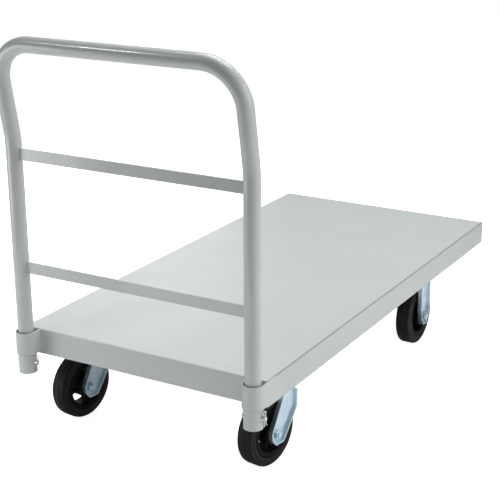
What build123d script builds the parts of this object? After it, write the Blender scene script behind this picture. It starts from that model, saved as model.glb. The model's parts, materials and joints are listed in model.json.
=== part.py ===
from build123d import *
import os

# A flatbed platform truck: a folded steel deck on two swivel and two rigid
# casters, pushed by a bent-tube handle that drops into a socket at each rear
# corner and is held there by clevis pins.  Millimetres.  +X is the way the
# truck is pushed, +Z is up, and the floor is z = 0.

os.makedirs("parts", exist_ok=True)

# Deck
deck_length = 1219.2
deck_width = 609.6
deck_sheet = 2.7
skirt_depth = 57.15
skirt_lip = 12.7
deck_bend_radius = 3.7
deck_corner_radius = 2.0

# Cross channels and ribs under the deck
channel_web = 132.0
channel_sheet = 3.4
channel_foot = 22.0
rib_width = 44.0
rib_depth = 38.0
rib_sheet = 2.7
rib_foot = 16.0
rib_spacing = 300.0
rib_end_gap = 1.0

# Handle frame
tube_diameter = 34.0
tube_wall = 2.3
handle_height = 632.5
handle_bend_radius = 86.0
handle_knee_height = 428.0
handle_knee_radius = 150.0
handle_lean = 36.8
crossbar_height = 25.4
crossbar_thickness = 4.8
lower_bar_height = 148.0
upper_bar_height = 396.0

# Corner sockets
tube_fit = 0.35
sleeve_wall = 2.85
sleeve_drop = 95.0
sleeve_nest = 10.0
strap_height = 51.0
strap_thickness = 2.7
strap_fit = 0.05
strap_lap = 28.0
strap_ear = 4.0
strap_bend_radius = 2.0
socket_gap = 1.9
tube_end_drop = 84.0

# Clevis pins and hairpin clips
pin_diameter = 9.4
pin_drop = 70.5
pin_head_diameter = 14.0
pin_head_thickness = 3.2
pin_seat_gap = 0.3
pin_hole_clearance = 0.2
pin_end_beyond_clip = 4.0
clip_wire = 2.2
clip_offset = 5.2
clip_clearance = 0.3
clip_leg = 17.0
clip_ring_width = 9.0
clip_ring_height = 10.0

# Casters
wheel_radius = 76.2
wheel_width = 38.1
rear_kingpin_inset = 157.0
front_axle_distance = 891.8
caster_side_inset = 62.3
caster_lead = 43.5
caster_swivel_right = -8.5
caster_swivel_left = -7.5
plate_length = 114.3
plate_width = 101.6
plate_thickness = 6.35
plate_corner_radius = 7.0
bolt_spacing_x = 92.1
bolt_spacing_y = 66.7
plate_hole_diameter = 10.3

# Swivel bearing, measured down from the face that the caster is bolted to
race_radius = 29.5
race_outer_radius = 36.5
race_depth = 10.3
race_ball_diameter = 7.94
race_ball_count = 18
race_gap = 6.0
kingpin_recess_radius = 18.0
kingpin_recess_depth = 6.8
kingpin_diameter = 12.7
kingpin_head_radius = 13.0
kingpin_head_height = 6.0
crown_radius = 38.0
crown_hole_radius = 9.0
lower_race_radius = 15.5
lower_race_outer_radius = 21.5
lower_race_thickness = 4.3
lower_ball_diameter = 6.35
lower_ball_count = 12
lower_race_gap = 4.4
ball_play = 0.15
kingpin_nut_height = 8.5
kingpin_nut_flats = 19.05
kingpin_end = 2.0
thread_fit = 0.05

# Forks
fork_sheet = 4.8
fork_inside = 47.0
fork_flange = 5.7
fork_flange_thickness = 3.6
fork_bend_radius = 8.0
fork_wheel_clearance = 17.0
fork_tip_half_width = 20.0
fork_tip_drop = 24.0
fork_leg_top_width = 40.0
fork_front_knee = 42.0
fork_flange_stop = 10.0
rigid_leg_half_width = 28.5
rigid_knee_height = 20.0

# Axle and roller bearing
axle_diameter = 12.7
axle_head_height = 8.0
axle_flats = 19.05
axle_nut_height = 9.0
axle_end = 3.0
axle_hole_clearance = 0.3
spanner_diameter = 19.0
running_clearance = 0.08
roller_diameter = 4.76
roller_count = 10
cage_ring = 1.6
cage_bar = 1.5
washer_diameter = 34.0
washer_thickness = 1.6
washer_gap = 0.2

# Wheel
tyre_inner_radius = 57.15
tyre_shoulder = 5.4
rim_width = 35.5
rim_inner_radius = 45.5
hub_radius = 26.0
spoke_count = 4
spoke_thickness = 8.0
spoke_depth = 16.0
window_corner_radius = 3.5
wheel_turns = {"rear_right": 74.0, "rear_left": 15.0, "front_right": 40.0, "front_left": 62.0}

# Caster fasteners
bolt_diameter = 9.5
bolt_head_height = 6.2
bolt_flats = 14.3
nut_height = 8.3
bolt_end = 2.5
flat_washer_diameter = 22.0
flat_washer_thickness = 1.6
flat_washer_clearance = 0.4

# Places that follow from the sizes above
tube_radius = tube_diameter / 2
sleeve_radius = tube_radius + tube_fit + sleeve_wall
strap_inner_radius = sleeve_radius + strap_fit
strap_outer_radius = strap_inner_radius + strap_thickness
socket_back = strap_inner_radius + socket_gap
rear_overhang = socket_back + max(strap_outer_radius, handle_lean + tube_radius)
deck_rear = -(deck_length - rear_overhang) / 2
half_width = deck_width / 2
socket_x = deck_rear - socket_back
socket_y = half_width - strap_inner_radius
crown_top = race_depth + race_gap
crown_bottom = crown_top + fork_sheet
upper_ball_z = -(race_depth + race_gap / 2)
lower_ball_z = -(crown_bottom + lower_race_gap / 2)
axle_drop = crown_bottom + fork_wheel_clearance + wheel_radius
mount_height = wheel_radius + axle_drop
deck_top = mount_height + skirt_depth
deck_underside = deck_top - deck_sheet
fork_half_inside = fork_inside / 2
fork_face = fork_half_inside + fork_sheet
rear_caster_x = deck_rear + rear_kingpin_inset
front_caster_x = deck_rear + front_axle_distance
caster_y = half_width - caster_side_inset
pin_z = deck_top - pin_drop
spanner_radius = spanner_diameter / 2
roller_ring_radius = spanner_radius + running_clearance + roller_diameter / 2
hub_bore_radius = roller_ring_radius + roller_diameter / 2 + running_clearance
hub_length = fork_inside - 2 * (washer_thickness + 2 * washer_gap)
sides = {"right": -1, "left": 1}
swivel_angles = {"right": caster_swivel_right, "left": caster_swivel_left}


def save(node, *pieces):
    """Write one node; a group of identical fasteners is several solids."""
    solids = [solid for piece in pieces for solid in piece.solids()]
    export_step(solids[0] if len(solids) == 1 else Compound(solids), f"parts/{node}.step")


def along_y(profile, low, high):
    """Extrude a profile drawn in X-Z from y = low to y = high."""
    return Pos(0, high, 0) * extrude(Plane.XZ * profile, high - low)


def along_z(profile, low, high):
    """Extrude a profile drawn in X-Y from z = low to z = high."""
    return Pos(0, 0, low) * extrude(profile, high - low)


def along_x(profile, low, high):
    """Extrude a profile drawn in Y-Z from x = low to x = high."""
    return Pos(low, 0, 0) * extrude(Plane.YZ * profile, high - low)


def ring(outer_radius, inner_radius):
    return Circle(outer_radius) - Circle(inner_radius)


def hexagon(flats):
    return RegularPolygon(flats / 2, 6, major_radius=False)


def span(x_low, x_high, y_low, y_high):
    """A rectangle between two corners."""
    centre = Pos((x_low + x_high) / 2, (y_low + y_high) / 2)
    return centre * Rectangle(x_high - x_low, y_high - y_low)


def grid(spacing_x, spacing_y):
    """Four corners of a rectangle about the origin."""
    return [(x, y) for x in (-spacing_x / 2, spacing_x / 2) for y in (-spacing_y / 2, spacing_y / 2)]


def slab(length, width, depth, low_x, middle_y, low_z):
    return Pos(low_x, middle_y, low_z) * Box(length, width, depth, align=(Align.MIN, Align.CENTER, Align.MIN))


# ---------------------------------------------------------------- deck
def deck_pan():
    """Sheet folded down on four sides, each skirt returned inwards as a lip."""
    skin = slab(deck_length, deck_width, skirt_depth, deck_rear, 0, mount_height)
    skin = fillet(skin.edges().filter_by(Axis.Z), deck_corner_radius)
    skin = fillet(skin.faces().sort_by(Axis.Z)[-1].edges(), deck_bend_radius - 0.5)
    inside = slab(
        deck_length - 2 * deck_sheet,
        deck_width - 2 * deck_sheet,
        skirt_depth - 2 * deck_sheet,
        deck_rear + deck_sheet,
        0,
        mount_height + deck_sheet,
    )
    inside = fillet(inside.faces().sort_by(Axis.Z)[-1].edges(), deck_bend_radius - deck_sheet)
    mouth_inset = deck_sheet + skirt_lip
    mouth = slab(
        deck_length - 2 * mouth_inset,
        deck_width - 2 * mouth_inset,
        2 * deck_sheet,
        deck_rear + mouth_inset,
        0,
        mount_height - deck_sheet / 2,
    )
    return skin - inside - mouth


def hat_section(web, depth, sheet, foot):
    """A hat drawn with its web at the bottom and its feet at the top."""
    outside = span(-web / 2, web / 2, 0, depth)
    outside = fillet(outside.vertices().group_by(Axis.Y)[0], 2 * sheet)
    inside = span(-web / 2 + sheet, web / 2 - sheet, sheet, depth + sheet)
    inside = fillet(inside.vertices().group_by(Axis.Y)[0], sheet)
    feet = span(-web / 2 - foot, web / 2 + foot, depth - sheet, depth)
    return outside + feet - inside


def caster_channel(middle_x):
    """Hat channel welded across the underside; the casters bolt to its web."""
    depth = deck_underside - mount_height
    half_length = half_width - deck_sheet - skirt_lip
    channel = along_y(hat_section(channel_web, depth, channel_sheet, channel_foot), -half_length, half_length)
    for side in sides.values():
        for x, y in grid(bolt_spacing_x, bolt_spacing_y):
            hole = along_z(Circle(plate_hole_diameter / 2), -1, 2 * channel_sheet)
            channel -= Pos(x, side * caster_y + y, 0) * hole
        access = along_z(Circle(kingpin_recess_radius), -1, 2 * channel_sheet)
        channel -= Pos(0, side * caster_y, 0) * access
    return Pos(middle_x, 0, mount_height) * channel


def deck_rib(side):
    """Hat rib welded lengthwise between the two channels."""
    foot_reach = channel_web / 2 + channel_foot + rib_end_gap
    low_x = rear_caster_x + foot_reach
    high_x = front_caster_x - foot_reach
    rib = along_x(hat_section(rib_width, rib_depth, rib_sheet, rib_foot), low_x, high_x)
    return Pos(0, side * rib_spacing / 2, deck_underside - rib_depth) * rib


# ---------------------------------------------------------------- handle
def handle_path():
    """Up one leg, back at the knee, across the top and down the other leg."""
    foot = deck_top - tube_end_drop
    knee = deck_top + handle_knee_height
    head = deck_top + handle_height
    leg = [(socket_x, foot), (socket_x, knee), (socket_x - handle_lean, head)]
    corners = [(x, -socket_y, z) for x, z in leg] + [(x, socket_y, z) for x, z in reversed(leg)]
    radii = [handle_knee_radius, handle_bend_radius]
    return FilletPolyline(*corners, radius=radii + radii[::-1])


def pin_bore(side):
    bore = Circle(pin_diameter / 2 + pin_hole_clearance)
    return Pos(socket_x, side * socket_y, pin_z) * along_y(bore, -2 * sleeve_radius, 2 * sleeve_radius)


def handle_tube():
    """One bent tube, cross-drilled near each foot for its clevis pin."""
    path = handle_path()
    start = Plane(origin=path @ 0, z_dir=path % 0)
    tube = sweep(start * Circle(tube_radius), path=path)
    tube -= sweep(start * Circle(tube_radius - tube_wall), path=path)
    for side in sides.values():
        tube -= pin_bore(side)
    return tube


def crossbar(height):
    """Flat bar between the legs, its ends coped to the round of the tube."""
    middle = deck_top + height
    profile = span(-crossbar_thickness / 2, crossbar_thickness / 2, -crossbar_height / 2, crossbar_height / 2)
    profile = fillet(profile.vertices(), 0.8)
    bar = Pos(socket_x, 0, middle) * along_y(profile, -socket_y, socket_y)
    for side in sides.values():
        leg = along_z(Circle(tube_radius), middle - crossbar_height, middle + crossbar_height)
        bar -= Pos(socket_x, side * socket_y, 0) * leg
    return bar


# ---------------------------------------------------------------- sockets
def socket_strap(side):
    """Strap that laps the side skirt, wraps the tube and turns onto the rear skirt."""
    bend = strap_bend_radius
    leg_y = -strap_inner_radius
    band = ring(strap_outer_radius, strap_inner_radius)
    band -= span(0, strap_outer_radius + 1, -strap_outer_radius - 1, strap_outer_radius + 1)
    band += span(0, socket_back + strap_lap, strap_inner_radius, strap_outer_radius)
    turn_x = socket_back - strap_thickness - bend
    turn_y = leg_y - strap_thickness - bend
    band += span(0, turn_x, leg_y - strap_thickness, leg_y)
    reach = bend + strap_thickness
    corner = ring(reach, bend) & span(0, reach, 0, reach)
    band += Pos(turn_x, turn_y) * corner
    band += span(socket_back - strap_thickness, socket_back, turn_y - strap_ear, turn_y)
    strap = along_z(band, deck_top - strap_height, deck_top)
    if side < 0:
        strap = mirror(strap, Plane.XZ)
    return Pos(socket_x, side * socket_y, 0) * strap


def socket_sleeve(side):
    """Tube welded into the foot of the strap, cross-drilled for the pin."""
    high = deck_top - strap_height + sleeve_nest
    sleeve = along_z(ring(sleeve_radius, sleeve_radius - sleeve_wall), deck_top - sleeve_drop, high)
    return Pos(socket_x, side * socket_y, 0) * sleeve - pin_bore(side)


def clevis_pin(side):
    """Headed pin through sleeve and handle; the clip goes through its far end."""
    clip_y = -sleeve_radius - clip_offset
    head_y = sleeve_radius + pin_seat_gap
    shank = along_y(Circle(pin_diameter / 2), clip_y - pin_end_beyond_clip, head_y)
    shank = chamfer(shank.faces().sort_by(Axis.Y)[0].edges(), 1.0)
    head = along_y(Circle(pin_head_diameter / 2), head_y, head_y + pin_head_thickness)
    head = fillet(head.faces().sort_by(Axis.Y)[-1].edges(), 1.2)
    hole = along_z(Circle(clip_wire / 2 + clip_clearance), -pin_diameter, pin_diameter)
    pin = shank + head - Pos(0, clip_y, 0) * hole
    return Pos(socket_x, side * socket_y, pin_z) * pin


def hairpin_clip(side):
    """Spring wire: a straight leg through the pin, a ring, and a leg outside it."""
    beside = pin_diameter / 2 + clip_wire / 2 + clip_clearance
    waist = clip_wire + 0.7
    left = (waist - clip_ring_width) / 2
    right = (waist + clip_ring_width) / 2
    neck = beside + 0.5
    low = neck + 0.3 * clip_ring_height
    high = neck + 0.6 * clip_ring_height
    points = [(0, -clip_leg), (0, neck), (left, low), (left, high), (waist / 2, neck + clip_ring_height)]
    points += [(right, high), (right, low), (waist, neck), (beside, neck - 3)]
    points += [(beside, 5 - clip_leg), (beside + 3, -clip_leg)]
    path = FilletPolyline(*[(x, 0, z) for x, z in points], radius=[2.5, 2.5, 2.5, 3, 2.5, 2.5, 1.8, 2.5, 4])
    wire = sweep(Plane(origin=path @ 0, z_dir=path % 0) * Circle(clip_wire / 2), path=path)
    return Pos(socket_x, side * socket_y - sleeve_radius - clip_offset, pin_z) * wire


# ---------------------------------------------------------------- casters
def top_plate(with_race):
    """Rectangular plate; the swivel one is pressed down into a ball race."""
    plate = along_z(Rectangle(plate_length, plate_width), -plate_thickness, 0)
    plate = fillet(plate.edges().filter_by(Axis.Z), plate_corner_radius)
    for x, y in grid(bolt_spacing_x, bolt_spacing_y):
        plate -= Pos(x, y, 0) * along_z(Circle(plate_hole_diameter / 2), -2 * plate_thickness, 1)
    if with_race:
        plate += along_z(Circle(race_outer_radius), -race_depth, -plate_thickness)
        plate -= along_z(Circle(kingpin_recess_radius), -kingpin_recess_depth, 1)
        plate -= along_z(Circle(kingpin_diameter / 2 + 2 * thread_fit), -2 * race_depth, 1)
        plate -= ball_groove(race_radius, race_ball_diameter, upper_ball_z)
    return plate


def ball_groove(radius, ball_diameter, height):
    return Pos(0, 0, height) * Torus(radius, ball_diameter / 2 + ball_play)


def ball_ring(radius, ball_diameter, count, height):
    ball = Pos(radius, 0, height) * Sphere(ball_diameter / 2)
    return [Rot(0, 0, 360 * step / count) * ball for step in range(count)]


def fork_channel(crown_high, outline):
    """Plate folded down into two legs, cut to the outline seen from the side."""
    foot = -axle_drop - fork_tip_drop - 1
    outside = span(-fork_face, fork_face, foot, crown_high)
    outside = fillet(outside.vertices().group_by(Axis.Y)[-1], fork_bend_radius)
    inside = span(-fork_half_inside, fork_half_inside, foot - 1, crown_high - fork_sheet)
    inside = fillet(inside.vertices().group_by(Axis.Y)[-1], fork_bend_radius - fork_sheet)
    fold = along_x(outside - inside, -2 * crown_radius - caster_lead, 2 * crown_radius)
    return fold & along_y(outline, -2 * fork_face, 2 * fork_face)


def fork_flanges(outline, crown_high):
    """The edge of each leg is turned outwards to stiffen it."""
    edge = outline - offset(outline, -fork_flange_thickness)
    stop = crown_high - fork_bend_radius - fork_flange_stop
    edge -= span(-4 * crown_radius, 4 * crown_radius, stop, crown_high + crown_radius)
    flange = along_y(edge, fork_face, fork_face + fork_flange)
    return flange + mirror(flange, Plane.XZ)


def drill_axle(fork, axle_x):
    bore = along_y(Circle(axle_diameter / 2 + axle_hole_clearance), -2 * fork_face, 2 * fork_face)
    return fork - Pos(axle_x, 0, -axle_drop) * bore


def swivel_fork():
    """Fork that hangs from the kingpin and trails its wheel behind it."""
    high = -crown_top
    axle_x = -caster_lead
    half = fork_tip_half_width
    tip_low = -axle_drop - fork_tip_drop
    knee = -axle_drop + fork_front_knee
    leg_front = fork_leg_top_width / 2 + 3.5
    leg_rear = leg_front - fork_leg_top_width
    corners = [(axle_x - half, -axle_drop + 9), (leg_rear, high), (leg_front, high), (leg_front, knee)]
    corners += [(axle_x + half, tip_low), (axle_x - half + 13, tip_low), (axle_x - half, -axle_drop - 9)]
    outline = make_face(Polyline(*corners, close=True))
    outline = fillet(outline.vertices().sort_by(Axis.Y)[:5], 6.0)
    fork = fork_channel(high, outline) + fork_flanges(outline, high)
    blank = along_z(Circle(crown_radius), high - fork_bend_radius, high)
    fork += fork_channel(high, span(-crown_radius, crown_radius, high - fork_bend_radius, high)) & blank
    fork -= along_z(Circle(crown_hole_radius), high - 2 * fork_sheet, high + 1)
    fork -= ball_groove(race_radius, race_ball_diameter, upper_ball_z)
    fork -= ball_groove(lower_race_radius, lower_ball_diameter, lower_ball_z)
    return drill_axle(fork, axle_x)


def rigid_fork():
    """Fork welded under its plate, with no swivel."""
    high = -plate_thickness
    half = rigid_leg_half_width
    tip_low = -axle_drop - fork_tip_drop + 2
    tip = fork_tip_half_width
    knee = -axle_drop + rigid_knee_height
    low = -axle_drop - 6
    corners = [(-half, high), (half, high), (half, knee), (tip, low), (tip - 10, tip_low)]
    corners += [(10 - tip, tip_low), (-tip, low), (-half, knee)]
    outline = make_face(Polyline(*corners, close=True))
    outline = fillet(outline.vertices().sort_by(Axis.Y)[:6], 6.0)
    fork = fork_channel(high, outline) + fork_flanges(outline, high)
    return drill_axle(fork, 0)


def lower_race():
    """Dished washer that carries the small balls under the crown."""
    high = -(crown_bottom + lower_race_gap)
    washer = ring(lower_race_outer_radius, kingpin_diameter / 2 + thread_fit)
    race = along_z(washer, high - lower_race_thickness, high)
    return race - ball_groove(lower_race_radius, lower_ball_diameter, lower_ball_z)


def kingpin():
    head_seat = -kingpin_recess_depth
    nut_low = -(crown_bottom + lower_race_gap + lower_race_thickness + kingpin_nut_height)
    shank = along_z(Circle(kingpin_diameter / 2), nut_low - kingpin_end, head_seat)
    shank = chamfer(shank.faces().sort_by(Axis.Z)[0].edges(), 1.0)
    head = along_z(Circle(kingpin_head_radius), head_seat, head_seat + kingpin_head_height)
    return shank + fillet(head.faces().sort_by(Axis.Z)[-1].edges(), 2.0)


def kingpin_nut():
    high = -(crown_bottom + lower_race_gap + lower_race_thickness)
    return along_z(hexagon(kingpin_nut_flats) - Circle(kingpin_diameter / 2), high - kingpin_nut_height, high)


# Wheel and axle pieces are drawn about the axle, which lies along Y.
def axle_bolt():
    nut_side = -fork_face - axle_nut_height - axle_end
    shank = along_y(Circle(axle_diameter / 2), nut_side, fork_face)
    shank = chamfer(shank.faces().sort_by(Axis.Y)[0].edges(), 1.2)
    head = along_y(Rot(0, 0, 10) * hexagon(axle_flats), fork_face, fork_face + axle_head_height)
    return shank + chamfer(head.faces().sort_by(Axis.Y)[-1].edges(), 0.8)


def axle_nut():
    nut = along_y(Rot(0, 0, 24) * hexagon(axle_flats), -fork_face - axle_nut_height, -fork_face)
    nut = chamfer(nut.faces().sort_by(Axis.Y)[0].edges(), 0.8)
    return nut - along_y(Circle(axle_diameter / 2), -2 * fork_face, 0)


def spanner_bushing():
    return along_y(ring(spanner_radius, axle_diameter / 2 + thread_fit), -fork_half_inside, fork_half_inside)


def thrust_washers():
    washer = ring(washer_diameter / 2, spanner_radius + 0.2)
    outer = fork_half_inside - washer_gap
    lows = (outer - washer_thickness, -outer)
    return [along_y(washer, low, low + washer_thickness) for low in lows]


def roller_bearing():
    """Caged straight rollers that turn round the spanner bushing."""
    half = hub_length / 2 - 1.5
    inner = spanner_radius + 0.5
    outer = hub_bore_radius - 0.3
    end_ring = ring(outer, inner)
    cage = along_y(end_ring, half - cage_ring, half) + along_y(end_ring, -half, cage_ring - half)
    bar = along_y(Pos((inner + outer) / 2, 0) * Rectangle(outer - inner - 0.8, cage_bar), -half, half)
    reach = half - cage_ring - 0.3
    roller = Pos(roller_ring_radius, 0, 0) * along_y(Circle(roller_diameter / 2), -reach, reach)
    pitch = 360 / roller_count
    for step in range(roller_count):
        cage += Rot(0, pitch * (step + 0.5), 0) * bar
    return [cage] + [Rot(0, pitch * step, 0) * roller for step in range(roller_count)]


def wheel_core():
    """Cast centre: hub, four spokes and the rim that the rubber is moulded to."""
    core = along_y(ring(tyre_inner_radius, rim_inner_radius), -rim_width / 2, rim_width / 2)
    core += along_y(ring(hub_radius, hub_bore_radius), -hub_length / 2, hub_length / 2)
    gap = ring(rim_inner_radius, hub_radius)
    for step in range(spoke_count):
        arm = span(0, tyre_inner_radius, -spoke_thickness / 2, spoke_thickness / 2)
        gap -= Rot(0, 0, 360 * step / spoke_count) * arm
    gap = fillet(gap.vertices(), window_corner_radius)
    web = ring(rim_inner_radius + 1, hub_radius - 1) - gap
    return core + along_y(web, -spoke_depth / 2, spoke_depth / 2)


def tyre():
    """Rubber tread moulded onto the rim, with rounded shoulders."""
    section = span(tyre_inner_radius, wheel_radius, -wheel_width / 2, wheel_width / 2)
    section = fillet(section.vertices().group_by(Axis.X)[-1], tyre_shoulder)
    return revolve(section, Axis.Y)


# ---------------------------------------------------------------- fasteners
def caster_bolt():
    """Hex bolt pushed up through plate and channel web."""
    head = along_z(hexagon(bolt_flats), -plate_thickness - bolt_head_height, -plate_thickness)
    head = chamfer(head.faces().sort_by(Axis.Z)[0].edges(), 0.6)
    top = channel_sheet + flat_washer_thickness + nut_height + bolt_end
    return head + along_z(Circle(bolt_diameter / 2), -plate_thickness, top)


def caster_washer():
    washer = ring(flat_washer_diameter / 2, bolt_diameter / 2 + flat_washer_clearance)
    return along_z(washer, channel_sheet, channel_sheet + flat_washer_thickness)


def caster_nut():
    low = channel_sheet + flat_washer_thickness
    return along_z(hexagon(bolt_flats) - Circle(bolt_diameter / 2), low, low + nut_height)


# ---------------------------------------------------------------- assembly
def at_each_bolt(piece):
    places = []
    for middle_x in (rear_caster_x, front_caster_x):
        for side in sides.values():
            middle = Pos(middle_x, side * caster_y, mount_height)
            places += [middle * Pos(x, y, 0) for x, y in grid(bolt_spacing_x, bolt_spacing_y)]
    return [place * piece for place in places]


def save_wheel(name, place):
    """The pieces that turn together about one axle."""
    turn = Rot(0, -wheel_turns[name], 0)
    save(f"{name}_tyre", place * tyre())
    save(f"{name}_wheel_core", place * turn * wheel_core())
    save(f"{name}_roller_bearing", *[place * piece for piece in roller_bearing()])


save("deck_pan", deck_pan())
save("rear_caster_channel", caster_channel(rear_caster_x))
save("front_caster_channel", caster_channel(front_caster_x))
save("deck_ribs", *[deck_rib(side) for side in sides.values()])
save("handle_tube", handle_tube())
save("handle_lower_crossbar", crossbar(lower_bar_height))
save("handle_upper_crossbar", crossbar(upper_bar_height))
save("clevis_pins", *[clevis_pin(side) for side in sides.values()])
save("caster_bolts", *at_each_bolt(caster_bolt()))
save("caster_washers", *at_each_bolt(caster_washer()))
save("caster_nuts", *at_each_bolt(caster_nut()))

for name, side in sides.items():
    save(f"{name}_socket_strap", socket_strap(side))
    save(f"{name}_socket_sleeve", socket_sleeve(side))
    save(f"{name}_hairpin_clip", hairpin_clip(side))

for name, side in sides.items():
    kingpin_place = Pos(rear_caster_x, side * caster_y, mount_height)
    swung = kingpin_place * Rot(0, 0, swivel_angles[name])
    axle_place = swung * Pos(-caster_lead, 0, -axle_drop)
    save(f"rear_{name}_top_plate", kingpin_place * top_plate(True))
    save(f"rear_{name}_kingpin", kingpin_place * kingpin())
    save(f"rear_{name}_kingpin_nut", kingpin_place * kingpin_nut())
    save(f"rear_{name}_lower_race", kingpin_place * lower_race())
    upper = ball_ring(race_radius, race_ball_diameter, race_ball_count, upper_ball_z)
    lower = ball_ring(lower_race_radius, lower_ball_diameter, lower_ball_count, lower_ball_z)
    save(f"rear_{name}_swivel_balls", *[kingpin_place * ball for ball in upper + lower])
    save(f"rear_{name}_fork", swung * swivel_fork())
    save(f"rear_{name}_axle_bolt", axle_place * axle_bolt())
    save(f"rear_{name}_axle_nut", axle_place * axle_nut())
    save(f"rear_{name}_spanner_bushing", axle_place * spanner_bushing())
    save(f"rear_{name}_thrust_washers", *[axle_place * washer for washer in thrust_washers()])
    save_wheel(f"rear_{name}", axle_place)

front_places = {name: Pos(front_caster_x, side * caster_y, mount_height) for name, side in sides.items()}
for name, place in front_places.items():
    save(f"front_{name}_top_plate", place * top_plate(False))
    save(f"front_{name}_fork", place * rigid_fork())
    save_wheel(f"front_{name}", place * Pos(0, 0, -axle_drop))

axle_places = [place * Pos(0, 0, -axle_drop) for place in front_places.values()]
save("front_axle_bolts", *[place * axle_bolt() for place in axle_places])
save("front_axle_nuts", *[place * axle_nut() for place in axle_places])
save("front_spanner_bushings", *[place * spanner_bushing() for place in axle_places])
save("front_thrust_washers", *[place * washer for place in axle_places for washer in thrust_washers()])
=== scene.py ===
import math
import json
import bpy
import bmesh
from mathutils import Matrix, Vector


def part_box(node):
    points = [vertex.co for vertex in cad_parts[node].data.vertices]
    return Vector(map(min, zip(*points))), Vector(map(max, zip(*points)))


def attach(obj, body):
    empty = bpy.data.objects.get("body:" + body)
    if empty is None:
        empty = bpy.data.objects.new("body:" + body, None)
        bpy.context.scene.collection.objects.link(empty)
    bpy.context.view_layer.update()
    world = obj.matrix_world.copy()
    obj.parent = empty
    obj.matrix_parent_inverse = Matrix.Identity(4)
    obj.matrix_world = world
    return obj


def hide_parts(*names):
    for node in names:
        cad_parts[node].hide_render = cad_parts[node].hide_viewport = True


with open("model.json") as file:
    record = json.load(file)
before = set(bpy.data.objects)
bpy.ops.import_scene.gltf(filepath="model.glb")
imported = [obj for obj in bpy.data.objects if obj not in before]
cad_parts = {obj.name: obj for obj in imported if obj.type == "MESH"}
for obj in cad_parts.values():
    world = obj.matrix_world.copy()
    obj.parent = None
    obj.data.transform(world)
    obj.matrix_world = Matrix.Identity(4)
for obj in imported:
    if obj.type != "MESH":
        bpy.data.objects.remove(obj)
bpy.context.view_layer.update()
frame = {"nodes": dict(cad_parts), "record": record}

# ---- Deck pan -------------------------------------------------------------
# One steel sheet folded down on four sides with a return lip, closed at the
# corners, then powder coated light grey with the whole frame.


def add_node(tree, kind, **settings):
    """One shader node; settings whose name is a socket go to that socket."""
    node = tree.nodes.new(kind)
    for name, value in settings.items():
        socket = node.inputs.get(name.replace("_", " ").title())
        if socket is not None:
            socket.default_value = value
        else:
            setattr(node, name, value)
    return node


def new_group(name, inputs, outputs):
    """An empty shader group with float inputs and the named outputs."""
    group = bpy.data.node_groups.new(name, "ShaderNodeTree")
    for label, value in inputs.items():
        socket = group.interface.new_socket(label, in_out="INPUT", socket_type="NodeSocketFloat")
        socket.default_value = value
    for label, kind in outputs.items():
        group.interface.new_socket(label, in_out="OUTPUT", socket_type=kind)
    return group, group.nodes.new("NodeGroupInput"), group.nodes.new("NodeGroupOutput")


def soft_edge_group():
    """Rounds the look of sharp edges and marks where they are."""
    group, source, result = new_group(
        "soft_edge",
        {"Radius": 0.0006},
        {"Normal": "NodeSocketVector", "Edge": "NodeSocketFloat"},
    )
    link = group.links.new
    bevel = add_node(group, "ShaderNodeBevel", samples=6)
    true_normal = add_node(group, "ShaderNodeNewGeometry")
    facing = add_node(group, "ShaderNodeVectorMath", operation="DOT_PRODUCT")
    spread = add_node(group, "ShaderNodeMapRange", From_Min=0.98, From_Max=0.75)
    link(source.outputs["Radius"], bevel.inputs["Radius"])
    link(bevel.outputs["Normal"], facing.inputs[0])
    link(true_normal.outputs["Normal"], facing.inputs[1])
    link(facing.outputs["Value"], spread.inputs["Value"])
    link(bevel.outputs["Normal"], result.inputs["Normal"])
    link(spread.outputs["Result"], result.inputs["Edge"])
    return group


def surface_grain_group():
    """Fine relief with broad patches over it, from two sizes of noise."""
    group, source, result = new_group(
        "surface_grain",
        {"Fine Scale": 900.0, "Broad Scale": 14.0, "Stretch": 1.0},
        {"Height": "NodeSocketFloat", "Patches": "NodeSocketFloat", "Specks": "NodeSocketFloat"},
    )
    link = group.links.new
    place = add_node(group, "ShaderNodeTexCoord")
    stretch = add_node(group, "ShaderNodeCombineXYZ", X=1.0, Y=1.0)
    squeezed = add_node(group, "ShaderNodeVectorMath", operation="MULTIPLY")
    fine = add_node(group, "ShaderNodeTexNoise", Detail=2.0, Roughness=0.55)
    broad = add_node(group, "ShaderNodeTexNoise", Detail=4.0, Roughness=0.6)
    specks = add_node(group, "ShaderNodeTexVoronoi")
    speck_edge = add_node(group, "ShaderNodeMapRange", From_Min=0.12, From_Max=0.05)
    link(source.outputs["Stretch"], stretch.inputs["Z"])
    link(place.outputs["Object"], squeezed.inputs[0])
    link(stretch.outputs["Vector"], squeezed.inputs[1])
    link(squeezed.outputs["Vector"], fine.inputs["Vector"])
    link(place.outputs["Object"], broad.inputs["Vector"])
    link(place.outputs["Object"], specks.inputs["Vector"])
    link(source.outputs["Fine Scale"], fine.inputs["Scale"])
    link(source.outputs["Broad Scale"], broad.inputs["Scale"])
    link(source.outputs["Fine Scale"], specks.inputs["Scale"])
    link(specks.outputs["Distance"], speck_edge.inputs["Value"])
    link(fine.outputs["Fac"], result.inputs["Height"])
    link(broad.outputs["Fac"], result.inputs["Patches"])
    link(speck_edge.outputs["Result"], result.inputs["Specks"])
    return group


soft_edge = soft_edge_group()
surface_grain = surface_grain_group()


def new_finish(name):
    """A material with only its Principled shader, returned with its tree."""
    material = bpy.data.materials.new(name)
    material.use_nodes = True
    return material, material.node_tree, material.node_tree.nodes["Principled BSDF"]


def placed(tree, group, **settings):
    """Sets a shared group in a material with that material's own values."""
    return add_node(tree, "ShaderNodeGroup", node_tree=group, **settings)


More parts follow.
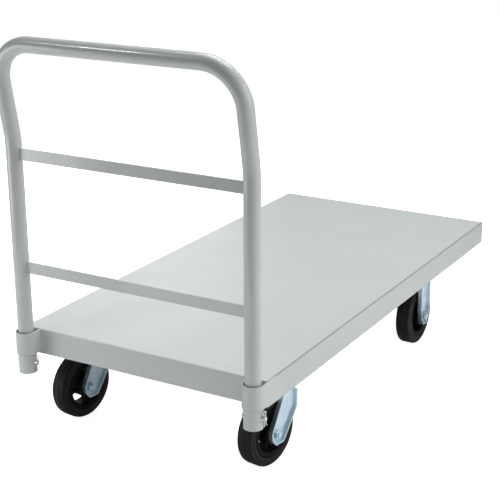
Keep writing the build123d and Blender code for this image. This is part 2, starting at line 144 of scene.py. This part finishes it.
def ramp_between(tree, factor, low, high, low_value, high_value):
    """Maps part of a mask's range onto a range of values."""
    limits = {"From_Min": low, "From_Max": high, "To_Min": low_value, "To_Max": high_value}
    spread = add_node(tree, "ShaderNodeMapRange", **limits)
    tree.links.new(factor, spread.inputs["Value"])
    return spread.outputs["Result"]


def blend_colours(tree, factor, first, second):
    """First colour where the mask is 0, second where it is 1."""
    mix = add_node(tree, "ShaderNodeMix", data_type="RGBA")
    tree.links.new(factor, mix.inputs[0])
    for socket, colour in ((mix.inputs[6], first), (mix.inputs[7], second)):
        if isinstance(colour, tuple):
            socket.default_value = (*colour, 1.0)
        else:
            tree.links.new(colour, socket)
    return mix.outputs[2]


def relief(tree, height, edges, distance, strength):
    """Bump laid over the rounded-edge normal."""
    bump = add_node(tree, "ShaderNodeBump", Distance=distance, Strength=strength)
    tree.links.new(height, bump.inputs["Height"])
    tree.links.new(edges.outputs["Normal"], bump.inputs["Normal"])
    return bump.outputs["Normal"]


def feed(tree, shader, colour, roughness, normal):
    """Joins a finish's colour, roughness and normal to its shader."""
    ends = (("Base Color", colour), ("Roughness", roughness), ("Normal", normal))
    for label, value in ends:
        tree.links.new(value, shader.inputs[label])


def long_bend_group():
    """Marks the bends that run along X, where the sheet turns from top to side, for a painted
    shade line.
    """
    group, _, result = new_group("long_bend", {}, {"Bend": "NodeSocketFloat"})
    place = add_node(group, "ShaderNodeTexCoord")
    parts = add_node(group, "ShaderNodeSeparateXYZ")
    product = add_node(group, "ShaderNodeMath", operation="MULTIPLY")
    size = add_node(group, "ShaderNodeMath", operation="ABSOLUTE")
    group.links.new(place.outputs["Normal"], parts.inputs["Vector"])
    group.links.new(parts.outputs["Y"], product.inputs[0])
    group.links.new(parts.outputs["Z"], product.inputs[1])
    group.links.new(product.outputs["Value"], size.inputs[0])
    bend = ramp_between(group, size.outputs["Value"], 0.10, 0.30, 0.0, 1.0)
    group.links.new(bend, result.inputs["Bend"])
    return group


long_bend = long_bend_group()
coat_grey = (0.560, 0.590, 0.590)
coat_grey_worn = (0.545, 0.576, 0.577)
# Painted shade: the darker grey laid on edges and in creases.
coat_edge_shade_grey = (0.430, 0.455, 0.455)
# Painted shade: the dark line along the deck's long bends.
coat_bend_shade_grey = (0.330, 0.350, 0.350)
coat_roughness = (0.34, 0.46)
coat_grain = 620.0
coat_skin = (0.0002, 0.35)
deck_edge_radius = 0.0012
tube_edge_radius = 0.0008
tube_gloss = 0.45


def powder_coat(name, edge_radius, coat_gloss, painted_bend_shade):
    """Sprayed and baked coat: orange-peel skin, painted shade on edges and creases, and along
    long bends when asked.
    """
    material, tree, shader = new_finish(name)
    grain = placed(tree, surface_grain, Fine_Scale=coat_grain, Broad_Scale=7.0)
    edges = placed(tree, soft_edge, Radius=edge_radius)
    patches = ramp_between(tree, grain.outputs["Patches"], 0.35, 0.65, 0.0, 1.0)
    body = blend_colours(tree, patches, coat_grey, coat_grey_worn)
    # Painted shade: edges and creases darkened through the edge mask.
    colour = blend_colours(tree, edges.outputs["Edge"], body, coat_edge_shade_grey)
    if painted_bend_shade:
        # Painted shade: a dark line along the long bends of the deck.
        bends = placed(tree, long_bend)
        colour = blend_colours(tree, bends.outputs["Bend"], colour, coat_bend_shade_grey)
    roughness = ramp_between(tree, patches, 0.0, 1.0, *coat_roughness)
    normal = relief(tree, grain.outputs["Height"], edges, *coat_skin)
    feed(tree, shader, colour, roughness, normal)
    shader.inputs["Coat Weight"].default_value = coat_gloss
    shader.inputs["Coat Roughness"].default_value = 0.10
    return material


# The deck's coat takes the painted shade along its long bends.
deck_coat = powder_coat("grey_powder_coat_deck", deck_edge_radius, 0.0, True)
grey_coat = powder_coat("grey_powder_coat", tube_edge_radius, tube_gloss, False)


def finish_nodes(material, *names):
    """Gives the named CAD nodes one material."""
    for name in names:
        for slot in frame["nodes"][name].material_slots:
            slot.material = material


finish_nodes(deck_coat, "deck_pan")

# ---- Cross channels and ribs ----------------------------------------------
# Hat sections under the deck, stitch welded to it before coating: one channel
# over each pair of casters and two ribs lengthwise between them.
finish_nodes(grey_coat, "rear_caster_channel", "front_caster_channel", "deck_ribs")
stitch_length = 0.030
stitch_radius = 0.0022
channel_stitches = 5
rib_stitches = 4
rib_width = 0.076
ripple_pitch = 0.8
ripple_waist = 0.86
bead_sides = 10
merge_distance = 1e-7


def turned(profile, steps, closed=False):
    """Spins a profile of (radius, height) points round Z into a solid skin."""
    shape = bmesh.new()
    points = [shape.verts.new((radius, 0.0, height)) for radius, height in profile]
    for first, second in zip(points, points[1:]):
        shape.edges.new((first, second))
    if closed:
        shape.edges.new((points[-1], points[0]))
    bmesh.ops.spin(
        shape,
        geom=shape.verts[:] + shape.edges[:],
        axis=(0, 0, 1),
        cent=(0, 0, 0),
        angle=math.tau,
        steps=steps,
        use_merge=True,
    )
    bmesh.ops.remove_doubles(shape, verts=shape.verts, dist=merge_distance)
    bmesh.ops.recalc_face_normals(shape, faces=shape.faces)
    return shape


def straight_bead(start, end, radius):
    """A rippled run of weld metal from one point to another."""
    start, end = Vector(start), Vector(end)
    run = end - start
    count = max(6, round(run.length / (ripple_pitch * radius)))
    crests = []
    for step in range(count):
        swell = 1.0 if step % 2 else ripple_waist
        crests.append((radius * swell, run.length * (step + 0.5) / count))
    bead = turned([(0.0, 0.0)] + crests + [(0.0, run.length)], bead_sides)
    bead.transform(Matrix.Translation(start) @ run.to_track_quat("Z", "Y").to_matrix().to_4x4())
    return bead


def add_piece(name, shapes, material, body, crease=35.0):
    """Joins the shapes into one smooth-shaded piece that rides on a body."""
    whole = bmesh.new()
    for shape in shapes:
        passing = bpy.data.meshes.new("passing")
        shape.to_mesh(passing)
        shape.free()
        whole.from_mesh(passing)
        bpy.data.meshes.remove(passing)
    mesh = bpy.data.meshes.new(name)
    whole.to_mesh(mesh)
    whole.free()
    mesh.shade_smooth()
    mesh.set_sharp_from_angle(angle=math.radians(crease))
    mesh.materials.append(material)
    piece = bpy.data.objects.new(name, mesh)
    bpy.context.collection.objects.link(piece)
    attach(piece, body)
    return piece


def add_welds(name, runs, radius):
    """Coated weld beads on the frame, one along each run."""
    beads = [straight_bead(start, end, radius) for start, end in runs]
    return add_piece(name, beads, grey_coat, "truck_frame")


deck_low, deck_high = (Vector(corner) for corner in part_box("deck_pan"))
channel_runs = []
for node in ("rear_caster_channel", "front_caster_channel"):
    low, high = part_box(node)
    for x in (low[0], high[0]):
        for step in range(channel_stitches):
            middle = low[1] + (high[1] - low[1]) * (step + 0.5) / channel_stitches
            start = (x, middle - stitch_length / 2, high[2] - stitch_radius / 2)
            channel_runs.append((start, (x, middle + stitch_length / 2, start[2])))
add_welds("channel_stitch_welds", channel_runs, stitch_radius)

rib_runs = []
rib_low, rib_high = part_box("deck_ribs")
for y in (rib_low[1], rib_low[1] + rib_width, rib_high[1] - rib_width, rib_high[1]):
    for step in range(rib_stitches):
        middle = rib_low[0] + (rib_high[0] - rib_low[0]) * (step + 0.5) / rib_stitches
        start = (middle - stitch_length / 2, y, rib_high[2] - stitch_radius / 2)
        rib_runs.append((start, (middle + stitch_length / 2, y, start[2])))
add_welds("rib_stitch_welds", rib_runs, stitch_radius)

# ---- Handle frame ---------------------------------------------------------
# Steel tube bent into an arch, with two flat crossbars coped to it and welded
# all round.
finish_nodes(grey_coat, "handle_tube", "handle_lower_crossbar", "handle_upper_crossbar")
crossbar_bead = 0.0016

crossbar_runs = []
for node in ("handle_lower_crossbar", "handle_upper_crossbar"):
    low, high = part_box(node)
    for y in (low[1], high[1]):
        for x in (low[0], high[0]):
            crossbar_runs.append(((x, y, low[2]), (x, y, high[2])))
        for z in (low[2], high[2]):
            crossbar_runs.append(((low[0], y, z), (high[0], y, z)))
add_welds("crossbar_welds", crossbar_runs, crossbar_bead)

# ---- Corner sockets -------------------------------------------------------
# A strap wraps each tube and is welded to both skirts; a sleeve is welded
# into its foot to take the clevis pin.
finish_nodes(grey_coat, "right_socket_strap", "left_socket_strap")
finish_nodes(grey_coat, "right_socket_sleeve", "left_socket_sleeve")
strap_bead = 0.0011
seam_depth = 0.0026
seam_steps = 72
seam_roughness = (0.45, 0.60)


def seam_shade_finish():
    """Dark coat on the weld under the strap, painted as the shade below the strap's lower edge.
    """
    material, tree, shader = new_finish("grey_powder_coat_seam_shade")
    grain = placed(tree, surface_grain, Fine_Scale=coat_grain, Broad_Scale=60.0)
    edges = placed(tree, soft_edge, Radius=0.0003)
    body = blend_colours(tree, grain.outputs["Patches"], coat_bend_shade_grey, coat_edge_shade_grey)
    roughness = ramp_between(tree, grain.outputs["Patches"], 0.3, 0.7, *seam_roughness)
    normal = relief(tree, grain.outputs["Height"], edges, *coat_skin)
    feed(tree, shader, body, roughness, normal)
    return material


seam_shade_coat = seam_shade_finish()
for name in ("right", "left"):
    side = -1 if name == "right" else 1
    strap_low, strap_high = (Vector(corner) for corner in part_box(f"{name}_socket_strap"))
    skirt_y = deck_high.y * side
    lap_end = (strap_high.x, skirt_y)
    ear_end = (deck_low.x, strap_low.y if side > 0 else strap_high.y)
    runs = [((x, y, strap_low.z), (x, y, strap_high.z)) for x, y in (lap_end, ear_end)]
    add_welds(f"{name}_socket_welds", runs, strap_bead)
    sleeve_low, sleeve_high = (Vector(corner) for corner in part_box(f"{name}_socket_sleeve"))
    axis = (sleeve_low + sleeve_high) / 2
    inner = (sleeve_high.x - sleeve_low.x) / 2
    outer = axis.x - strap_low.x
    # The weld fillet under each strap; its dark coat is painted shade below the strap's lower
    # edge.
    seam = turned([(inner, 0.0), (outer, 0.0), (inner, -seam_depth)], seam_steps, closed=True)
    seam.transform(Matrix.Translation((axis.x, axis.y, strap_low.z)))
    add_piece(f"{name}_sleeve_seam_shade", [seam], seam_shade_coat, "truck_frame")

# ---- Clevis pins and hairpin clips ----------------------------------------
# Headed pins turned from bar and clips bent from spring wire, both bright
# zinc plated.
zinc_pale = (0.63, 0.75, 0.82)
zinc_blue = (0.52, 0.67, 0.76)
zinc_clear = (0.80, 0.82, 0.83)
zinc_clear_dull = (0.66, 0.68, 0.69)
zinc_edge = (0.84, 0.90, 0.92)
zinc_roughness = (0.28, 0.40)


def zinc_plate(name, pale, deep):
    """Chromate over zinc: a drift between two colours, faint grain."""
    material, tree, shader = new_finish(name)
    grain = placed(tree, surface_grain, Fine_Scale=1500.0, Broad_Scale=45.0)
    edges = placed(tree, soft_edge, Radius=0.0006)
    patches = ramp_between(tree, grain.outputs["Patches"], 0.38, 0.62, 0.0, 1.0)
    body = blend_colours(tree, patches, pale, deep)
    colour = blend_colours(tree, edges.outputs["Edge"], body, zinc_edge)
    roughness = ramp_between(tree, patches, 0.0, 1.0, *zinc_roughness)
    normal = relief(tree, grain.outputs["Height"], edges, 0.0001, 0.25)
    feed(tree, shader, colour, roughness, normal)
    shader.inputs["Metallic"].default_value = 0.9
    return material


zinc = zinc_plate("bright_zinc", zinc_pale, zinc_blue)
clear_zinc = zinc_plate("clear_zinc", zinc_clear, zinc_clear_dull)
finish_nodes(clear_zinc, "clevis_pins", "right_hairpin_clip", "left_hairpin_clip")

# ---- Caster plates and swivel bearings ------------------------------------
# Pressed steel plates; the rear pair carry two rings of balls round a riveted
# kingpin, closed by a dished lower race and a nut.
steel_dark = (0.42, 0.42, 0.41)
steel_light = (0.58, 0.57, 0.55)
steel_roughness = (0.16, 0.30)


def hard_steel():
    """Ground and oiled bearing steel."""
    material, tree, shader = new_finish("bearing_steel")
    grain = placed(tree, surface_grain, Fine_Scale=2400.0, Broad_Scale=60.0)
    edges = placed(tree, soft_edge, Radius=0.0003)
    body = blend_colours(tree, grain.outputs["Patches"], steel_dark, steel_light)
    roughness = ramp_between(tree, grain.outputs["Patches"], 0.3, 0.7, *steel_roughness)
    normal = relief(tree, grain.outputs["Height"], edges, 0.00005, 0.2)
    feed(tree, shader, body, roughness, normal)
    shader.inputs["Metallic"].default_value = 1.0
    return material


bearing_steel = hard_steel()
rear_casters = ("rear_right", "rear_left")
casters = rear_casters + ("front_right", "front_left")
for caster in casters:
    finish_nodes(zinc, f"{caster}_top_plate")
for caster in rear_casters:
    finish_nodes(zinc, f"{caster}_kingpin", f"{caster}_kingpin_nut", f"{caster}_lower_race")
    finish_nodes(bearing_steel, f"{caster}_swivel_balls")

# ---- Forks ----------------------------------------------------------------
# Plate pressed into a fork with its leg edges flanged outwards; the front
# pair are welded under their plates.
for caster in casters:
    finish_nodes(zinc, f"{caster}_fork")
fork_bead = 0.0024
fork_half_width = 0.0283
fork_weld_inset = 0.006

for caster in ("front_right", "front_left"):
    plate_low = Vector(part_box(f"{caster}_top_plate")[0])
    fork_low, fork_high = (Vector(corner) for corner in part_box(f"{caster}_fork"))
    middle = (fork_low + fork_high) / 2
    start_x = fork_low.x + fork_weld_inset
    end_x = fork_high.x - fork_weld_inset
    beads = []
    for y in (middle.y - fork_half_width, middle.y + fork_half_width):
        beads.append(straight_bead((start_x, y, plate_low.z), (end_x, y, plate_low.z), fork_bead))
    add_piece(f"{caster}_fork_welds", beads, zinc, "truck_frame")

# ---- Axles and roller bearings --------------------------------------------
# A bolt clamps the fork on a hardened bushing; caged rollers run on it
# between thrust washers.
for caster in rear_casters:
    finish_nodes(zinc, f"{caster}_axle_bolt", f"{caster}_axle_nut")
    finish_nodes(bearing_steel, f"{caster}_spanner_bushing", f"{caster}_thrust_washers")
for caster in casters:
    finish_nodes(bearing_steel, f"{caster}_roller_bearing")
finish_nodes(zinc, "front_axle_bolts", "front_axle_nuts")
finish_nodes(bearing_steel, "front_spanner_bushings", "front_thrust_washers")

# ---- Wheel cores ----------------------------------------------------------
# Sand-cast hub, spokes and rim, painted black.
core_dark = (0.003, 0.003, 0.003)
core_light = (0.006, 0.006, 0.006)
core_edge = (0.015, 0.015, 0.015)
core_roughness = (0.42, 0.58)
core_sheen = 0.08


def cast_black():
    """Black paint over a sand casting: coarse skin, satin sheen."""
    material, tree, shader = new_finish("black_cast_core")
    grain = placed(tree, surface_grain, Fine_Scale=700.0, Broad_Scale=40.0)
    edges = placed(tree, soft_edge, Radius=0.001)
    body = blend_colours(tree, grain.outputs["Patches"], core_dark, core_light)
    colour = blend_colours(tree, edges.outputs["Edge"], body, core_edge)
    roughness = ramp_between(tree, grain.outputs["Patches"], 0.3, 0.7, *core_roughness)
    normal = relief(tree, grain.outputs["Height"], edges, 0.0006, 0.6)
    feed(tree, shader, colour, roughness, normal)
    shader.inputs["Specular IOR Level"].default_value = core_sheen
    return material


cast_core = cast_black()
for caster in casters:
    finish_nodes(cast_core, f"{caster}_wheel_core")

# ---- Tyres ----------------------------------------------------------------
# Black rubber moulded onto the core, with a bead step low on each sidewall
# and the thin flash line of the mould round the middle of the tread.
rubber_dark = (0.005, 0.005, 0.005)
rubber_light = (0.009, 0.009, 0.009)
rubber_side = (0.016, 0.016, 0.016)
rubber_speck = (0.018, 0.018, 0.018)
rubber_roughness = (0.48, 0.68)
rubber_sheen = 0.20


def moulded_rubber():
    """Matt rubber with pale specks, lighter on the flat of the sides."""
    material, tree, shader = new_finish("black_rubber")
    grain = placed(tree, surface_grain, Fine_Scale=1100.0, Broad_Scale=30.0)
    edges = placed(tree, soft_edge, Radius=0.0005)
    tread = blend_colours(tree, grain.outputs["Patches"], rubber_dark, rubber_light)
    place = add_node(tree, "ShaderNodeTexCoord")
    parts = add_node(tree, "ShaderNodeSeparateXYZ")
    facing = add_node(tree, "ShaderNodeMath", operation="ABSOLUTE")
    tree.links.new(place.outputs["Normal"], parts.inputs["Vector"])
    tree.links.new(parts.outputs["Y"], facing.inputs[0])
    side = ramp_between(tree, facing.outputs["Value"], 0.70, 0.97, 0.0, 1.0)
    body = blend_colours(tree, side, tread, rubber_side)
    colour = blend_colours(tree, grain.outputs["Specks"], body, rubber_speck)
    roughness = ramp_between(tree, grain.outputs["Patches"], 0.3, 0.7, *rubber_roughness)
    normal = relief(tree, grain.outputs["Height"], edges, 0.0003, 0.4)
    feed(tree, shader, colour, roughness, normal)
    shader.inputs["Specular IOR Level"].default_value = rubber_sheen
    return material


rubber = moulded_rubber()
tyre_half = [
    (0.07620, 0.0),
    (0.07595, 0.0004),
    (0.07590, 0.0125),
    (0.07540, 0.0150),
    (0.07420, 0.0168),
    (0.07240, 0.0178),
    (0.07000, 0.0183),
    (0.06680, 0.0185),
    (0.06640, 0.0179),
    (0.06480, 0.0179),
    (0.06440, 0.0187),
    (0.06360, 0.01905),
    (0.06080, 0.01905),
    (0.06000, 0.0187),
    (0.05830, 0.0182),
    (0.05715, 0.0180),
]
tyre_steps = 120
tyre_crease = 50.0
roll_joints = {joint["name"]: joint for joint in frame["record"]["behaviour"]["joints"]}


def wheel_place(caster):
    """Puts a shape turned about Z onto the axle of one caster."""
    roll = roll_joints[f"{caster}_roll"]
    turn = Vector((0, 0, 1)).rotation_difference(Vector(roll["axis"]))
    return Matrix.Translation(roll["pos_m"]) @ turn.to_matrix().to_4x4()


for caster in casters:
    near_side = [(radius, -offset) for radius, offset in reversed(tyre_half[1:])]
    tread = turned(near_side + tyre_half, tyre_steps, closed=True)
    tread.transform(wheel_place(caster))
    name = f"{caster}_moulded_tyre"
    tyre = add_piece(name, [tread], rubber, f"{caster}_wheel", tyre_crease)
    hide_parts(f"{caster}_tyre")
    finish_nodes(rubber, f"{caster}_tyre")

# ---- Caster fasteners -----------------------------------------------------
# Zinc plated hex bolts up through plate and channel, with flat washers and
# nuts inside the channel.
finish_nodes(zinc, "caster_bolts", "caster_washers", "caster_nuts")

# ---- Floor, lights and camera ---------------------------------------------
# Seamless white paper under soft boxes: one above, two on each side, one low
# behind, and a small one that shows only as a glint on glossy coat.
floor_reach = 14.0
paper_glow_near = 0.86
paper_glow_far = 1.0
paper_glow_spread = (1.2, 3.5)
paper_dark = (0.90, 0.90, 0.90)
paper_light = (0.92, 0.92, 0.92)
paper_roughness = (0.85, 0.95)
studio_in_gloss = 0.09


def shown_glow(tree, strength):
    """A glow that shows to the eye, and weaker in gloss, but lights nothing."""
    ray = add_node(tree, "ShaderNodeLightPath")
    mirrored = add_node(tree, "ShaderNodeMath", operation="MULTIPLY")
    mirrored.inputs[1].default_value = studio_in_gloss
    seen = add_node(tree, "ShaderNodeMath", operation="MAXIMUM")
    glow = add_node(tree, "ShaderNodeMath", operation="MULTIPLY")
    tree.links.new(ray.outputs["Is Glossy Ray"], mirrored.inputs[0])
    tree.links.new(ray.outputs["Is Camera Ray"], seen.inputs[0])
    tree.links.new(mirrored.outputs["Value"], seen.inputs[1])
    tree.links.new(seen.outputs["Value"], glow.inputs[0])
    if isinstance(strength, float):
        glow.inputs[1].default_value = strength
    else:
        tree.links.new(strength, glow.inputs[1])
    return glow.outputs["Value"]


def white_paper():
    """Matt white; a little glow keeps it white where the lights fall off."""
    material, tree, shader = new_finish("white_paper")
    grain = placed(tree, surface_grain, Fine_Scale=300.0, Broad_Scale=2.0)
    body = blend_colours(tree, grain.outputs["Patches"], paper_dark, paper_light)
    tree.links.new(body, shader.inputs["Base Color"])
    roughness = ramp_between(tree, grain.outputs["Height"], 0.3, 0.7, *paper_roughness)
    tree.links.new(roughness, shader.inputs["Roughness"])
    shader.inputs["Emission Color"].default_value = (1.0, 1.0, 1.0, 1.0)
    place = add_node(tree, "ShaderNodeTexCoord")
    reach = add_node(tree, "ShaderNodeVectorMath", operation="LENGTH")
    tree.links.new(place.outputs["Object"], reach.inputs[0])
    glow = (*paper_glow_spread, paper_glow_near, paper_glow_far)
    strength = ramp_between(tree, reach.outputs["Value"], *glow)
    tree.links.new(shown_glow(tree, strength), shader.inputs["Emission Strength"])
    return material


def floor_sheet():
    """The paper, laid flat far past the truck on every side."""
    mesh = bpy.data.meshes.new("floor")
    sheet = bmesh.new()
    bmesh.ops.create_grid(sheet, x_segments=8, y_segments=8, size=floor_reach)
    sheet.to_mesh(mesh)
    sheet.free()
    floor = bpy.data.objects.new("floor", mesh)
    bpy.context.collection.objects.link(floor)
    mesh.materials.append(white_paper())
    return floor


floor_sheet()


def soft_box(name, power, size, place, aim):
    """A square area light that faces the point aimed at."""
    light = bpy.data.lights.new(name, "AREA")
    light.energy = power
    light.shape = "RECTANGLE"
    light.size, light.size_y = size
    box = bpy.data.objects.new(name, light)
    box.location = place
    box.rotation_euler = (Vector(aim) - Vector(place)).to_track_quat("-Z", "Y").to_euler()
    bpy.context.collection.objects.link(box)
    return box


soft_box("right_box", 18.8, (1.6, 1.4), (0.0, -1.9, 1.1), (0.0, -0.3, 0.3))
soft_box("right_rear_box", 3.8, (1.0, 1.0), (-1.3, -1.6, 0.9), (-0.5, -0.3, 0.3))
soft_box("left_rear_box", 9.5, (0.8, 0.8), (-1.5, 1.3, 0.5), (-0.6, 0.28, 0.3))
soft_box("left_front_box", 11.5, (1.6, 1.4), (1.4, 1.8, 1.2), (0.0, 0.3, 0.3))
soft_box("top_box", 51.0, (2.2, 1.6), (0.42, 0.0, 2.4), (0.42, 0.0, 0.2))
soft_box("low_rear_box", 0.6, (0.9, 0.12), (-1.25, 0.03, 0.14), (-0.6, 0.03, 0.22))
glint_box = soft_box("glint_box", 16.0, (0.35, 0.35), (-2.2, 1.6, 2.4), (-0.6, 0.0, 0.9))
glint_box.visible_diffuse = False

world = bpy.data.worlds.new("studio")
world.use_nodes = True
backdrop = world.node_tree.nodes["Background"]
backdrop.inputs["Color"].default_value = (1.0, 1.0, 1.0, 1.0)
world.node_tree.links.new(shown_glow(world.node_tree, 1.0), backdrop.inputs["Strength"])
bpy.context.scene.world = world
bpy.context.scene.view_settings.view_transform = "Standard"

camera_eye = Vector((-2.5536, -1.4124, 1.27485))
camera_yaw = math.radians(30.0367)
camera_pitch = math.radians(18.3841)
camera_roll = math.radians(-0.3284)
camera_lens = 90.75
camera = bpy.data.cameras.new("camera")
camera.lens = camera_lens
camera.sensor_width = 36.0
camera_stand = bpy.data.objects.new("camera", camera)
camera_stand.matrix_world = (
    Matrix.Translation(camera_eye)
    @ Matrix.Rotation(camera_yaw - math.pi / 2, 4, "Z")
    @ Matrix.Rotation(math.pi / 2 - camera_pitch, 4, "X")
    @ Matrix.Rotation(camera_roll, 4, "Z")
)
bpy.context.collection.objects.link(camera_stand)
bpy.context.scene.camera = camera_stand
